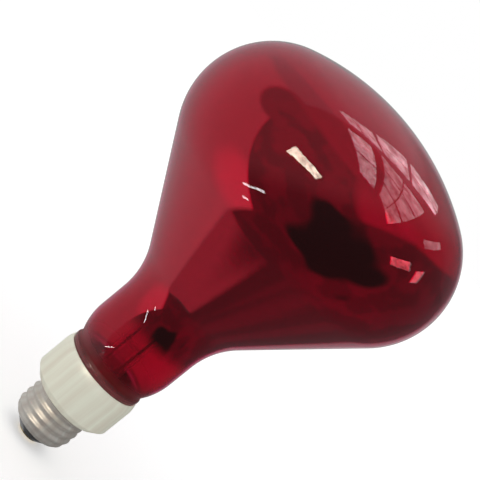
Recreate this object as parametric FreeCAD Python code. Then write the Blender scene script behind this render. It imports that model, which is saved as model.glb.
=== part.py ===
"""Infrared heat lamp: a blown ruby glass reflector bulb on a skirted screw cap.

Millimetres. The tip of the centre contact is the origin and +Z runs along the lamp's axis to its face.
"""
import FreeCAD
import Part
import math
import os

# Glass bulb
bulb_dia = 125.0
overall_length = 189.0
face_radius = 101.0
shoulder_radius = 34.4
flare_radius = 33.3
neck_swell = 3.15
neck_straight = 11.3
neck_bulge_radius = 25.0
groove_radius = 1.0
bead_radius = 1.6
bead_rise = 0.85
bead_lift = 1.3
glass_wall = 1.1
skin_sag = 0.4

# Cap: contact, insulator, screw shell and skirt, from the tip upwards
tip_height = 1.0
tip_dia = 5.2
tip_flat_dia = 3.4
contact_dia = 10.0
contact_sheet = 0.6
contact_edge = 0.3
insulator_height = 4.0
insulator_shelf = 0.5
insulator_depth = 3.4
thread_dia = 26.2
thread_depth = 1.0
thread_length = 15.0
shell_wall = 0.6
shell_lip_inset = 1.5
shell_lip_height = 1.6
collar_height = 1.6
skirt_dia = 37.8
skirt_height = 19.4
skirt_shoulder = 3.0
skirt_sheet = 0.4
lip_roll_radius = 10.0
lip_clearance = 0.45
cap_clearance = 0.1
cement_gap = 1.45
cement_height = 5.5
side_solder_bite = 0.45

# Glass mount: stem, exhaust tube and arbor
seal_height = 8.8
stem_tube_dia = 12.0
stem_height = 25.0
press_height = 12.0
press_roof = 5.0
press_width = 11.6
press_thickness = 5.2
press_edge = 2.0
exhaust_dia = 4.4
exhaust_wall = 0.9
exhaust_length = 35.0
arbor_dia = 3.2
arbor_length = 34.5
button_dia = 6.8
button_height = 5.2
button_edge = 2.0

# Wires, filament and heat shield
lead_dia = 1.2
lead_spacing = 7.1
lead_bend = 2.2
lead_rise = 6.0
lead_post = 8.0
lead_overrun = 1.0
wire_clearance = 0.1
filament_dia = 1.0
filament_ring_dia = 27.0
filament_sweep = 250.0
filament_lift = 44.0
support_count = 5
support_dia = 0.5
support_root = 1.2
eye_clearance = 0.3
shield_clearance = 1.1
shield_sheet = 0.3
shield_rim = 2.2
shield_lift = 3.0
shield_lead_hole = 3.4

# Heights up the axis
contact_z = tip_height
insulator_z = contact_z + contact_sheet
shell_z = insulator_z + insulator_height
shell_lip_z = shell_z + shell_lip_height
collar_z = shell_z + thread_length
shell_slope_z = collar_z - thread_depth
skirt_z = collar_z + collar_height
flange_z = skirt_z + skirt_sheet
lip_z = skirt_z + skirt_height
seal_z = skirt_z + seal_height
press_z = seal_z + stem_height
press_top_z = press_z + press_height
button_z = press_top_z + arbor_length
filament_z = press_top_z + filament_lift

# Radii that follow from the fits
bulb_r = bulb_dia / 2
skirt_r = skirt_dia / 2
seal_r = skirt_r - skirt_sheet - cement_gap
bore_r = seal_r - glass_wall
bead_r = seal_r + bead_rise
neck_r = seal_r + neck_swell
lip_r = seal_r + lip_clearance + skirt_sheet
thread_r = thread_dia / 2
root_r = thread_r - thread_depth
shell_bore_r = root_r - shell_wall
shell_lip_r = shell_bore_r - shell_lip_inset
flange_r = skirt_r - skirt_shoulder - skirt_sheet - cap_clearance
lead_r = lead_dia / 2
lead_x = lead_spacing / 2
side_lead_x = (thread_r + flange_r) / 2
filament_r = filament_dia / 2
filament_ring_r = filament_ring_dia / 2
support_r = support_dia / 2

# Roll of the skirt's lip, from the straight wall in to the glass
roll_hub_r = skirt_r - lip_roll_radius
roll_angle = math.degrees(math.acos((lip_r - roll_hub_r) / lip_roll_radius))
roll_hub = (roll_hub_r, lip_z - lip_roll_radius * math.sin(math.radians(roll_angle)))

axis_up = FreeCAD.Vector(0, 0, 1)
centre = FreeCAD.Vector(0, 0, 0)


def at(r, z):
    """Point of a turned outline: r out from the axis, z up it."""
    return FreeCAD.Vector(r, 0, z)


def chain(points):
    """Straight edges through the points in order."""
    return [Part.LineSegment(a, b).toShape() for a, b in zip(points, points[1:])]


def arc(hub, radius, start, end):
    """Arc about hub in the turned outline's plane; angles in degrees from outwards towards +Z."""
    def on(angle):
        turn = math.radians(angle)
        return at(hub[0] + radius * math.cos(turn), hub[1] + radius * math.sin(turn))
    return Part.Arc(on(start), on((start + end) / 2), on(end)).toShape()


def end_of(edge):
    return edge.valueAt(edge.LastParameter)


def start_of(edge):
    return edge.valueAt(edge.FirstParameter)


def joined(arcs):
    """Edges of an open outline: the given arcs with straight runs between ends that stand apart."""
    touching = 1e-6
    edges = [arcs[0]]
    for edge in arcs[1:]:
        if end_of(edges[-1]).distanceToPoint(start_of(edge)) > touching:
            edges += chain([end_of(edges[-1]), start_of(edge)])
        edges.append(edge)
    return edges


def turned(edges):
    """Solid of revolution about Z from an open outline, which a straight edge closes."""
    closing = chain([end_of(edges[-1]), start_of(edges[0])])
    return Part.Face(Part.Wire(edges + closing)).revolve(centre, axis_up, 360)


def bent_wire(points, bend_radius, radius):
    """Round wire along straight runs, with a tangent arc at each inner point."""
    edges = []
    start = points[0]
    for before, corner, after in zip(points, points[1:], points[2:]):
        back = (before - corner).normalize()
        ahead = (after - corner).normalize()
        half = back.getAngle(ahead) / 2
        reach = bend_radius / math.tan(half)
        inward = (back + ahead).normalize()
        middle = corner + inward * (bend_radius / math.sin(half) - bend_radius)
        edges += chain([start, corner + back * reach])
        edges.append(Part.Arc(corner + back * reach, middle, corner + ahead * reach).toShape())
        start = corner + ahead * reach
    edges += chain([start, points[-1]])
    section = Part.Wire(Part.makeCircle(radius, points[0], points[1] - points[0]))
    return Part.Wire(edges).makePipeShell([section], True, False)


def rod(radius, low, high, x=0.0):
    return Part.makeCylinder(radius, high - low, at(x, low))


# Hubs of the bulb's arcs, as (r, z), from the cap upwards
bead_hub = (bead_r - bead_radius, lip_z + bead_lift)
groove_hub_r = seal_r + groove_radius
bead_to_groove = bead_radius + groove_radius
groove_hub = (groove_hub_r,
              bead_hub[1] + math.sqrt(bead_to_groove ** 2 - (groove_hub_r - bead_hub[0]) ** 2))
bulge_hub_r = neck_r - neck_bulge_radius
groove_to_bulge = groove_radius + neck_bulge_radius
bulge_hub = (bulge_hub_r,
             groove_hub[1] + math.sqrt(groove_to_bulge ** 2 - (groove_hub_r - bulge_hub_r) ** 2))
flare_hub = (neck_r + flare_radius, bulge_hub[1] + neck_straight)
face_hub = (0.0, overall_length - face_radius)
shoulder_hub_r = bulb_r - shoulder_radius
shoulder_hub = (shoulder_hub_r,
                face_hub[1] + math.sqrt((face_radius - shoulder_radius) ** 2 - shoulder_hub_r ** 2))


def direction(from_hub, to_hub):
    return math.degrees(math.atan2(to_hub[1] - from_hub[1], to_hub[0] - from_hub[0]))


def cone_angle():
    """Half angle of the reflector cone, the common tangent of the flare and the shoulder."""
    across = flare_hub[0] - shoulder_hub[0]
    along = shoulder_hub[1] - flare_hub[1]
    reach = (flare_radius + shoulder_radius) / math.hypot(across, along)
    return math.degrees(math.asin(reach) - math.atan2(across, along))


def reflector_arcs(inset):
    """Flare, shoulder below and above the widest circle, and face, set in from the outside by inset."""
    cone = cone_angle()
    face_start = direction(face_hub, shoulder_hub)
    return [arc(flare_hub, flare_radius + inset, 180, 180 - cone),
            arc(shoulder_hub, shoulder_radius - inset, -cone, 0),
            arc(shoulder_hub, shoulder_radius - inset, 0, face_start),
            arc(face_hub, face_radius - inset, face_start, 90)]


def glass_bulb():
    """Blown envelope: seal rim, bead and groove above the cap, domed face; the bore is cut in cone bands."""
    bead_low = -math.degrees(math.acos((seal_r - bead_hub[0]) / bead_radius))
    bead_high = direction(bead_hub, groove_hub)
    bulge_low = direction(bulge_hub, groove_hub)
    outside = [arc(bead_hub, bead_radius, bead_low, bead_high),
               arc(groove_hub, groove_radius, bead_high + 180, 180 + bulge_low),
               arc(bulge_hub, neck_bulge_radius, bulge_low, 0)]
    outside = joined(chain([at(seal_r, seal_z), start_of(outside[0])])
                     + outside + reflector_arcs(0.0))
    bulge_bore = neck_bulge_radius - glass_wall
    bore_low = -math.degrees(math.acos((bore_r - bulge_hub[0]) / bulge_bore))
    inside = Part.Wire(joined([arc(bulge_hub, bulge_bore, bore_low, 0)] + reflector_arcs(glass_wall)))
    inside = chain([at(bore_r, seal_z)] + inside.discretize(QuasiDeflection=skin_sag))
    whole = turned(outside + chain([end_of(outside[-1]), at(0, seal_z)]))
    hollow = turned(inside + chain([end_of(inside[-1]), at(0, seal_z)]))
    return whole.cut(hollow)


def stem_glass(leads):
    """Flare sealed to the bulb's rim, its tube, and the flat press that grips the leads."""
    tube_r = stem_tube_dia / 2
    tube_bore = tube_r - glass_wall
    flare_r = bore_r - cap_clearance
    flare_z = seal_z + flare_r - tube_r
    roof_z = press_z + press_roof
    rim_z = seal_z - glass_wall
    outside = [at(seal_r, seal_z), at(flare_r, seal_z), at(tube_r, flare_z), at(tube_r, press_z),
               at(press_thickness / 2, roof_z), at(0, roof_z)]
    inside = [at(0, press_z), at(tube_bore, press_z), at(tube_bore, flare_z), at(flare_r, rim_z),
              at(seal_r, rim_z)]
    tube = turned(chain(outside + inside))
    corner = FreeCAD.Vector(-press_width / 2, -press_thickness / 2, press_z)
    press = Part.makeBox(press_width, press_thickness, press_height, corner)
    uprights = [edge for edge in press.Edges if edge.BoundBox.ZLength > press_height / 2]
    press = press.makeFillet(press_edge, uprights)
    return tube.fuse(press).removeSplitter().cut(leads)


def exhaust_tube():
    """Pumping tube under the press, drawn off to a closed point."""
    radius = exhaust_dia / 2
    bore = radius - exhaust_wall
    low = press_z - exhaust_length
    point = low - exhaust_dia
    return turned(chain([at(bore, press_z), at(radius, press_z), at(radius, low),
                         at(exhaust_wall / 2, point), at(0, point), at(0, low), at(bore, low)]))


def arbor_rod(wires):
    """Glass rod on the press, with the button that grips the support wires."""
    radius = arbor_dia / 2
    rim = button_dia / 2
    low = button_z - button_height / 2
    high = button_z + button_height / 2
    flank = (button_height - button_edge) / 2
    return turned(chain([at(0, press_top_z), at(radius, press_top_z), at(radius, low), at(rim, low + flank),
                         at(rim, high - flank), at(radius, high), at(0, high)])).cut(wires)


def ring_point(angle, z):
    turn = math.radians(angle)
    return FreeCAD.Vector(filament_ring_r * math.cos(turn), filament_ring_r * math.sin(turn), z)


filament_start = 90.0 + (360.0 - filament_sweep) / 2


def lead_wires():
    """The two leads from the cap, up through the press, to the ends of the filament."""
    bend_z = press_top_z + lead_rise
    post_z = filament_z - lead_post
    centre_turn_z = press_z - exhaust_length - exhaust_dia
    side_turn_z = seal_z - glass_wall - 2 * lead_bend
    contact_lead = [FreeCAD.Vector(0, 0, contact_z),
                    FreeCAD.Vector(0, 0, centre_turn_z - 2 * lead_bend),
                    FreeCAD.Vector(-lead_x, 0, centre_turn_z),
                    FreeCAD.Vector(-lead_x, 0, bend_z),
                    ring_point(filament_start, post_z),
                    ring_point(filament_start, filament_z + lead_overrun)]
    side_lead = [FreeCAD.Vector(side_lead_x, 0, skirt_z),
                 FreeCAD.Vector(side_lead_x, 0, side_turn_z),
                 FreeCAD.Vector(lead_x, 0, side_turn_z),
                 FreeCAD.Vector(lead_x, 0, bend_z),
                 ring_point(180 - filament_start, post_z),
                 ring_point(180 - filament_start, filament_z + lead_overrun)]
    return bent_wire(contact_lead, lead_bend, lead_r), bent_wire(side_lead, lead_bend, lead_r)


def filament_turn(index):
    """Angle round the ring of the filament's corners: a lead at each end, a support at each one between."""
    return filament_start + filament_sweep * index / (support_count + 1)


def filament(leads):
    """Outer form of the coiled wire: straight spans between the supports, ending on the two leads."""
    corners = [ring_point(filament_turn(index), filament_z) for index in range(support_count + 2)]
    section = Part.Wire(Part.makeCircle(filament_r, corners[0], corners[1] - corners[0]))
    mitred = 1
    return Part.Wire(chain(corners)).makePipeShell([section], True, False, mitred).cut(leads)


def support_wires(coil):
    """Straight wires from the button, each with an eye that the filament lies in."""
    eye_bore = filament_r + eye_clearance
    eye_r = eye_bore + support_dia
    eye_z = filament_z + eye_clearance
    low = at(support_root, button_z)
    high = at(filament_ring_r, eye_z - eye_bore - support_r)
    run = high - low
    wire = Part.makeCylinder(support_r, run.Length, low, run)
    across = FreeCAD.Vector(0, 1, 0)
    middle = FreeCAD.Vector(filament_ring_r, -support_r, eye_z)
    eye = Part.makeCylinder(eye_r, support_dia, middle, across)
    hook = wire.fuse(eye).cut(Part.makeCylinder(eye_bore, support_dia, middle, across))
    hooks = []
    for index in range(1, support_count + 1):
        placed = hook.copy()
        placed.rotate(centre, axis_up, filament_turn(index))
        hooks.append(placed.cut(coil))
    return hooks


def heat_shield():
    """Shallow metal dish on the arbor that keeps heat off the cap, with holes for the leads."""
    radius = bore_r - shield_clearance
    low = press_top_z + shield_lift
    dish = turned(chain([at(arbor_dia / 2, low), at(radius - shield_sheet, low),
                         at(radius - shield_sheet, low - shield_rim), at(radius, low - shield_rim),
                         at(radius, low + shield_sheet), at(arbor_dia / 2, low + shield_sheet)]))
    for side in (-lead_x, lead_x):
        dish = dish.cut(rod(shield_lead_hole / 2, low - shield_rim, low + shield_rim, side))
    return dish


def side_lead_hole(low, high):
    return rod(lead_r + wire_clearance, low, high, side_lead_x)


def cap_skirt():
    """Drawn sheet skirt: foot under the shell's flange, shoulder, wall, and lip rolled in to the glass."""
    roll = arc(roll_hub, lip_roll_radius, 0, roll_angle)
    foot_r = skirt_r - skirt_shoulder
    hole_r = thread_r + cap_clearance
    wall_r = skirt_r - skirt_sheet
    outside = chain([at(hole_r, skirt_z), at(foot_r, skirt_z), at(skirt_r, skirt_z + skirt_shoulder),
                     start_of(roll)])
    inside = chain([end_of(roll), at(lip_r - skirt_sheet, lip_z), at(wall_r, roll_hub[1]),
                    at(wall_r, flange_z + skirt_shoulder), at(foot_r - skirt_sheet, flange_z),
                    at(hole_r, flange_z)])
    return turned(outside + [roll] + inside).cut(side_lead_hole(skirt_z, flange_z))


def screw_shell():
    """Screw shell: lip turned in below, the thread's crest cylinder, collar, and flange in the skirt."""
    flange_top = flange_z + shell_wall
    collar_bore_r = thread_r - shell_wall
    outside = [at(shell_lip_r, shell_z), at(shell_lip_r + shell_wall, shell_z), at(root_r, shell_lip_z),
               at(thread_r, shell_lip_z + thread_depth), at(thread_r, flange_z),
               at(flange_r, flange_z), at(flange_r, flange_top)]
    inside = [at(collar_bore_r, flange_top), at(collar_bore_r, collar_z), at(shell_bore_r, shell_slope_z),
              at(shell_bore_r, shell_lip_z)]
    return turned(chain(outside + inside)).cut(side_lead_hole(flange_z, flange_top))


def cap_insulator():
    """Black glass plug in the shell's lip, coned down to the contact, with a hole for the lead."""
    hole_r = lead_r + wire_clearance
    shelf_r = contact_dia / 2 + insulator_shelf
    top_z = shell_lip_z + insulator_depth
    return turned(chain([at(hole_r, insulator_z), at(shelf_r, insulator_z), at(shell_lip_r, shell_z),
                         at(shell_bore_r, shell_lip_z), at(shell_bore_r, top_z), at(hole_r, top_z)]))


def centre_contact():
    """Round contact plate under the insulator, its rim bevelled, with a hole for the lead."""
    hole_r = lead_r + wire_clearance
    rim = contact_dia / 2
    return turned(chain([at(hole_r, contact_z), at(rim - contact_edge, contact_z),
                         at(rim, contact_z + contact_edge), at(rim, insulator_z), at(hole_r, insulator_z)]))


def contact_solder():
    """Solder button over the end of the lead, with a flat tip for the lampholder's spring."""
    return turned(chain([at(0, 0), at(tip_flat_dia / 2, 0), at(tip_dia / 2, tip_height), at(0, tip_height)]))


def side_solder():
    """Solder bead under the skirt's foot, against the collar, over the end of the side lead."""
    radius = side_lead_x - thread_r + side_solder_bite
    bead = Part.makeSphere(radius, at(side_lead_x, skirt_z))
    return bead.cut(rod(skirt_r, skirt_z, lip_z)).cut(rod(thread_r, shell_z, skirt_z))


def basing_cement():
    """Ring of cement that holds the glass neck in the skirt."""
    top = roll_hub[1]
    ring = rod(skirt_r - skirt_sheet, top - cement_height, top)
    return ring.cut(rod(seal_r, top - cement_height, top))


def build():
    """Every piece of the lamp by node name."""
    contact_lead, side_lead = lead_wires()
    leads = [contact_lead, side_lead]
    coil = filament(leads)
    hooks = support_wires(coil)
    pieces = {"glass_bulb": glass_bulb(),
              "stem_glass": stem_glass(leads),
              "exhaust_tube": exhaust_tube(),
              "arbor_rod": arbor_rod(hooks),
              "contact_lead": contact_lead,
              "side_lead": side_lead,
              "filament": coil,
              "heat_shield": heat_shield(),
              "basing_cement": basing_cement(),
              "cap_skirt": cap_skirt(),
              "screw_shell": screw_shell(),
              "cap_insulator": cap_insulator(),
              "centre_contact": centre_contact(),
              "contact_solder": contact_solder(),
              "side_solder": side_solder()}
    for number, hook in enumerate(hooks, 1):
        pieces["support_wire_%d" % number] = hook
    return pieces


os.makedirs("parts", exist_ok=True)
for name, shape in build().items():
    shape.exportStep("parts/%s.step" % name)
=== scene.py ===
"""Looks of the infrared heat lamp: ruby bulb, glass mount and skirted screw cap on a studio stage."""
import math

import bmesh
import bpy
from bpy.props import FloatProperty, FloatVectorProperty, IntProperty, PointerProperty
from bpy.types import Operator, Panel, PropertyGroup
from mathutils import Matrix, Vector, noise


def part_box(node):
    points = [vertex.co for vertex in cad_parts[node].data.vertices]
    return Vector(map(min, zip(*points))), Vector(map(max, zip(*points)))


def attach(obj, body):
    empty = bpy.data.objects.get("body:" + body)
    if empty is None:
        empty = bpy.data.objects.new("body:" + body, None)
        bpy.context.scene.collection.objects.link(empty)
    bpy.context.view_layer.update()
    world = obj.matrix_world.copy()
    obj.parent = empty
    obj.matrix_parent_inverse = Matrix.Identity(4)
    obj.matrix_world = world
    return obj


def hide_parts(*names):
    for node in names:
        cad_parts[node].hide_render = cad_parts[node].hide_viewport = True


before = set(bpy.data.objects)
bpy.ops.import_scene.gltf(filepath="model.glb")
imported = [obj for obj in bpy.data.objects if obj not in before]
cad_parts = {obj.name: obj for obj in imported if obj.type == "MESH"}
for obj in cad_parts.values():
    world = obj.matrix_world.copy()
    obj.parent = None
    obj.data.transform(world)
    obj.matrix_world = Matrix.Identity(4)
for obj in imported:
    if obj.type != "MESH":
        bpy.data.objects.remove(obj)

bl_info = {
    "name": "Infrared heat lamp looks",
    "version": (1, 0, 0),
    "blender": (4, 5, 0),
    "location": "View3D > Sidebar > Heat lamp",
    "description": "Models and finishes a ruby reflector heat lamp on its packed frame",
    "category": "Object",
}

MM = 0.001
FRAME_PX = 480
SENSOR_MM = 36.0
GLASS_IOR = 1.5

# Facets round a turned piece
BULB_FACETS = 176
CAP_FACETS = 128
PLUG_FACETS = 96
DROP_FACETS = 48
WIRE_FACETS = 6
COIL_FACETS = 12

# Places of the bulb's finishes after its glass
COAT, COAT_BACK, SEAL_PAINTED_SHADE = 1, 2, 3

# Panels of the room: name, wall, strength, panes across and up, corners on the wall
PANELS = (
    ("tube_panel", "front", 22.0, (1, 1), ((-0.28, 0.646), (-0.09, 0.795), (0.226, 0.344), (0.104, 0.292))),
    ("left_pane", "right", 3.6, (2, 1), ((0.72, 0.68), (0.03, 1.26), (-0.2, 0.86), (0.56, 0.42))),
    ("right_pane", "right", 2.1, (3, 2), ((0.5, 0.36), (-0.28, 0.76), (-0.36, 0.26), (0.56, -0.03))),
    ("side_pane", "right", 2.6, (2, 4), ((-0.17, 1.22), (-0.31, 1.52), (-0.98, 0.32), (-0.66, 0.26))),
    ("long_strip", "left", 16.0, (1, 1), ((0.49, -0.035), (1.01, -0.11), (1.01, -0.15), (0.49, -0.07))),
    ("short_strip", "left", 14.0, (1, 1), ((0.37, -0.2), (0.48, -0.235), (0.48, -0.265), (0.37, -0.23))),
    ("high_card", "right", 1.6, (1, 1), ((-0.08, -0.03), (-0.45, 0.02), (-0.45, -0.05), (-0.08, -0.12))),
    ("low_card", "right", 1.8, (1, 1), ((0.52, -0.5), (0.14, -0.38), (0.12, -0.52), (0.5, -0.66))),
    ("far_card", "right", 1.5, (1, 1), ((0.0, -0.45), (-0.15, -0.38), (-0.1, -0.6), (0.02, -0.68))),
)

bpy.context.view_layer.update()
BULB_LOW, BULB_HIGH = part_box("glass_bulb")
STEM_LOW, STEM_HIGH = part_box("stem_glass")
SKIRT_LOW, SKIRT_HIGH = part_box("cap_skirt")
SHELL_LOW, SHELL_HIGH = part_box("screw_shell")
PLUG_LOW, PLUG_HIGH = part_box("cap_insulator")
PLATE_LOW, PLATE_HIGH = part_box("centre_contact")
TIP_LOW, TIP_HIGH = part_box("contact_solder")
DROP_LOW, DROP_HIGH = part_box("side_solder")
COIL_LOW, COIL_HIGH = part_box("filament")


def length(name, description, size):
    """Length that a user can change, given here in millimetres."""
    return FloatProperty(name=name, description=description, default=size * MM, unit="LENGTH", precision=5)


def angle(name, description, degrees):
    """Angle that a user can change."""
    return FloatProperty(name=name, description=description, default=math.radians(degrees), subtype="ANGLE")


def number(name, description, default):
    """Plain number that a user can change."""
    return FloatProperty(name=name, description=description, default=default, min=0.01)


def colour(name, description, default):
    """Colour that a user can change."""
    return FloatVectorProperty(name=name, description=description, default=default, subtype="COLOR",
                               size=3, min=0.0, max=1.0)


class HeatLampBulb(PropertyGroup):
    """Sizes and colours of the blown bulb and of its mirror coat."""
    face_radius: length("Face radius", "Radius of the domed face", 101)
    shoulder_radius: length("Shoulder radius", "Radius between the cone and the face", 34.4)
    flare_radius: length("Flare radius", "Radius between the neck and the cone", 33.3)
    neck_swell: length("Neck swell", "How far the neck stands out past the groove", 3.15)
    neck_straight: length("Neck straight", "Straight run of the neck", 11.3)
    bulge_radius: length("Bulge radius", "Radius of the swell above the groove", 25)
    groove_radius: length("Groove radius", "Radius of the groove over the bead", 1.0)
    bead_radius: length("Bead radius", "Radius of the bead over the cap", 1.6)
    bead_rise: length("Bead rise", "How far the bead stands out past the groove", 0.85)
    bead_lift: length("Bead lift", "Height of the bead's middle over the skirt's lip", 1.3)
    wall: length("Wall", "Thickness of the glass", 1.1)
    seat_gap: length("Seat gap", "Gap between the neck and the cement", 0.06)
    mirror_low: length("Mirror start", "Where the mirror coat starts on the neck", 64)
    mirror_high: length("Mirror end", "Where the mirror coat ends on the shoulder", 169)
    neck_feather: length("Neck feather", "Height over which the coat thins out at the neck", 7)
    face_feather: length("Face feather", "Height over which the coat thins out at the face", 2)
    coat_gap: length("Coat gap", "Gap between the glass and the mirror coat", 0.03)
    coat: length("Coat", "Thickness of the mirror coat", 0.05)
    haze_height: length("Haze height", "Height over which the haze over the bead clears", 11)
    ruby: colour("Ruby", "Colour of light through one wall of the glass", (0.75, 0.015, 0.135))
    haze: colour("Haze", "Colour of the dulled glass over the bead", (0.72, 0.12, 0.15))
    mirror: colour("Mirror", "Colour of the mirror coat", (0.88, 0.87, 0.86))
    # Dark brown of the fused bead: partly its glass, partly painted shade of the cap's shaded inside seen
    # through it
    seal_painted_shade: colour("Seal", "Colour of the fused bead", (0.27, 0.07, 0.075))


class HeatLampMount(PropertyGroup):
    """Sizes of the filament and colours of the mount."""
    coil_pitch: length("Coil pitch", "Distance between turns of the filament", 0.34)
    coil_wire: length("Coil wire", "Thickness of the filament wire", 0.2)
    filament_sweep: angle("Filament sweep", "Part of the ring that the filament runs round", 250)
    filament_spans: IntProperty(name="Filament spans", default=6, min=1,
                                description="Straight spans between leads and supports")
    wire: colour("Wire", "Colour of the leads and supports", (0.5, 0.47, 0.42))
    tungsten: colour("Filament", "Colour of the filament wire", (0.16, 0.16, 0.17))
    shield: colour("Heat shield", "Colour of the heat shield", (0.66, 0.65, 0.62))
    cement: colour("Cement", "Colour of the basing cement", (0.88, 0.82, 0.72))
    grain: colour("Cement grain", "Colour of the cement's darker grains", (0.72, 0.65, 0.55))


class HeatLampCap(PropertyGroup):
    """Sizes and colours of the cap."""
    sheet: length("Skirt sheet", "Thickness of the skirt", 0.4)
    shoulder: length("Skirt shoulder", "Width and height of the skirt's shoulder", 3.0)
    lip_roll: length("Lip roll", "Radius of the roll at the skirt's lip", 10)
    lip_gap: length("Lip gap", "Gap between the skirt's lip and the glass", 0.45)
    foot_gap: length("Foot gap", "Gap between the skirt's foot and the screw shell", 0.1)
    skirt_edge: length("Skirt edge", "Round on the edges of the skirt", 0.12)
    thread_pitch: length("Thread pitch", "Rise of the thread in one turn", 3.629)
    thread_depth: length("Thread depth", "Height of the thread's crests over its roots", 1.0)
    thread_radius: length("Thread radius", "Radius over the thread's crests", 13.1)
    thread_run_in: number("Thread run-in", "Turns over which the thread rises at each end", 0.625)
    shell_wall: length("Shell wall", "Thickness of the screw shell", 0.6)
    lip_inset: length("Shell lip inset", "How far the shell's lower lip turns in", 1.5)
    lip_height: length("Shell lip height", "Height of the shell's lower lip", 1.6)
    collar_height: length("Collar height", "Plain collar between the thread and the skirt", 1.6)
    plug_shelf: length("Plug shelf", "Width of the insulator's shelf round the contact plate", 0.5)
    plug_edge: length("Plug edge", "Round on the edges of the insulator", 0.25)
    plate_edge: length("Plate edge", "Round on the rim of the contact plate", 0.3)
    drop_edge: length("Solder edge", "Round on the edges of the contact's solder", 0.2)
    skirt: colour("Skirt", "Colour of the skirt", (0.92, 0.95, 0.8))
    shell: colour("Shell", "Colour of the screw shell", (0.8, 0.79, 0.74))
    vitrite: colour("Insulator", "Colour of the insulator", (0.012, 0.012, 0.014))
    brass: colour("Contact", "Colour of the contact plate", (0.68, 0.5, 0.22))
    solder: colour("Solder", "Colour of the solder", (0.6, 0.6, 0.58))


class HeatLampStage(PropertyGroup):
    """Camera, floor and light."""
    distance: length("Camera distance", "From the camera to the lamp's axis", 520)
    aim_height: length("Aim height", "Height on the axis that the camera is set out from", 110.2)
    elevation: angle("Elevation", "Camera's angle over the lamp's equator", 11.68)
    roll: angle("Roll", "Angle of the lamp's axis over the picture's horizontal", 39.15)
    lens: number("Lens", "Focal length in millimetres", 104.3)
    offset: FloatVectorProperty(name="Offset", description="Place of the aim point right of and below the "
                                "middle of the picture, in pixels", size=2, default=(1.6, 18.0))
    floor_size: length("Floor size", "Width of the floor", 4000)
    floor_lift: number("Floor lift", "Light that lifts the floor to white for the camera", 0.32)
    floor_tone: colour("Floor tone", "Colour of the floor", (0.82, 0.82, 0.82))
    room: length("Room", "Distance from the lamp to the panels that it mirrors", 1000)
    room_height: length("Room height", "Height of the middle of the panels", 130)
    tube_tone: colour("Tube tone", "Colour of the tube lamp", (1.0, 0.86, 0.69))
    pane_bar: number("Pane bar", "Half a bar of a window as a share of its width", 0.02)


class Outline:
    """Pen that draws one half of a turned section in the XZ plane and then turns it about Z."""

    def __init__(self, r, z):
        self.bm = bmesh.new()
        self.tip = self.bm.verts.new((r, 0, z))

    def extend(self, place):
        """New tip at a place, joined to the last one."""
        self.tip = bmesh.ops.extrude_vert_indiv(self.bm, verts=[self.tip])["verts"][0]
        self.tip.co = place

    def line(self, r, z, steps=1):
        """Straight run to a point, cut in equal steps."""
        start = self.tip.co.copy()
        for step in range(1, steps + 1):
            self.extend(start.lerp((r, 0, z), step / steps))
        return self

    def arc(self, hub, sweep, steps):
        """Arc about hub, (r, z); a positive sweep turns from outwards towards up."""
        turn = Matrix.Rotation(-sweep / steps, 3, "Y")
        for step in range(steps):
            self.extend(self.tip.co.copy())
            bmesh.ops.rotate(self.bm, verts=[self.tip], cent=(hub[0], 0, hub[1]), matrix=turn)
        return self

    def turned(self, facets):
        """The closed turned shape, with its outline's two ends joined."""
        bm = self.bm
        bm.verts.ensure_lookup_table()
        ends = [vert for vert in bm.verts if len(vert.link_edges) == 1]
        if len(ends) == 2 and max(abs(vert.co.x) for vert in ends) > 1e-6:
            bm.edges.new(ends)
        bmesh.ops.spin(bm, geom=bm.verts[:] + bm.edges[:], cent=(0, 0, 0), axis=(0, 0, 1),
                       angle=2 * math.pi, steps=facets, use_merge=True)
        bmesh.ops.remove_doubles(bm, verts=bm.verts, dist=1e-7)
        bmesh.ops.recalc_face_normals(bm, faces=bm.faces)
        return bm


def creases(bm, limit):
    """Edges where two faces meet at more than an angle."""
    return [edge for edge in bm.edges if edge.is_manifold and edge.calc_face_angle() > limit]


def soften(bm, offset, segments=2):
    """Small rounds on the sharp edges."""
    bmesh.ops.bevel(bm, geom=creases(bm, math.radians(28)), offset=offset, offset_type="OFFSET",
                    affect="EDGES", segments=segments, profile=0.5, material=-1, clamp_overlap=True)


def link_mesh(name, bm, materials):
    """Object in the scene with a finished mesh."""
    mesh = bpy.data.meshes.new(name)
    bm.to_mesh(mesh)
    bm.free()
    for material in materials:
        mesh.materials.append(material)
    linked = bpy.data.objects.new(name, mesh)
    bpy.context.scene.collection.objects.link(linked)
    return linked


def add_piece(name, bm, materials, replaced):
    """Mesh piece on the lamp's only body that stands for the named node."""
    for face in bm.faces:
        face.smooth = True
    for edge in creases(bm, math.radians(40)):
        edge.smooth = False
    piece = link_mesh(name, bm, materials)
    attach(piece, "root")
    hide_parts(replaced)
    return piece


def dress(node_name, material):
    """Puts a material on a CAD node."""
    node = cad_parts[node_name]
    for slot in node.material_slots:
        slot.material = material
    if not node.material_slots:
        node.data.materials.append(material)


def set_inputs(tree, node, inputs):
    """Gives a node its inputs: each is a value or another node's output."""
    for key, value in inputs.items():
        if isinstance(value, bpy.types.NodeSocket):
            tree.links.new(value, node.inputs[key])
        else:
            node.inputs[key].default_value = value


def add_node(tree, kind, inputs=None, **settings):
    """Shader node with its settings and inputs."""
    node = tree.nodes.new(kind)
    for key, value in settings.items():
        setattr(node, key, value)
    set_inputs(tree, node, inputs or {})
    return node


def maths(tree, operation, *values):
    """Result of a sum on values and node outputs."""
    return add_node(tree, "ShaderNodeMath", dict(enumerate(values)), operation=operation).outputs["Value"]


def vector_maths(tree, operation, *values):
    """Vector that comes of a sum on vectors and node outputs."""
    node = add_node(tree, "ShaderNodeVectorMath", dict(enumerate(values)), operation=operation)
    return node.outputs["Vector"]


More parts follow.
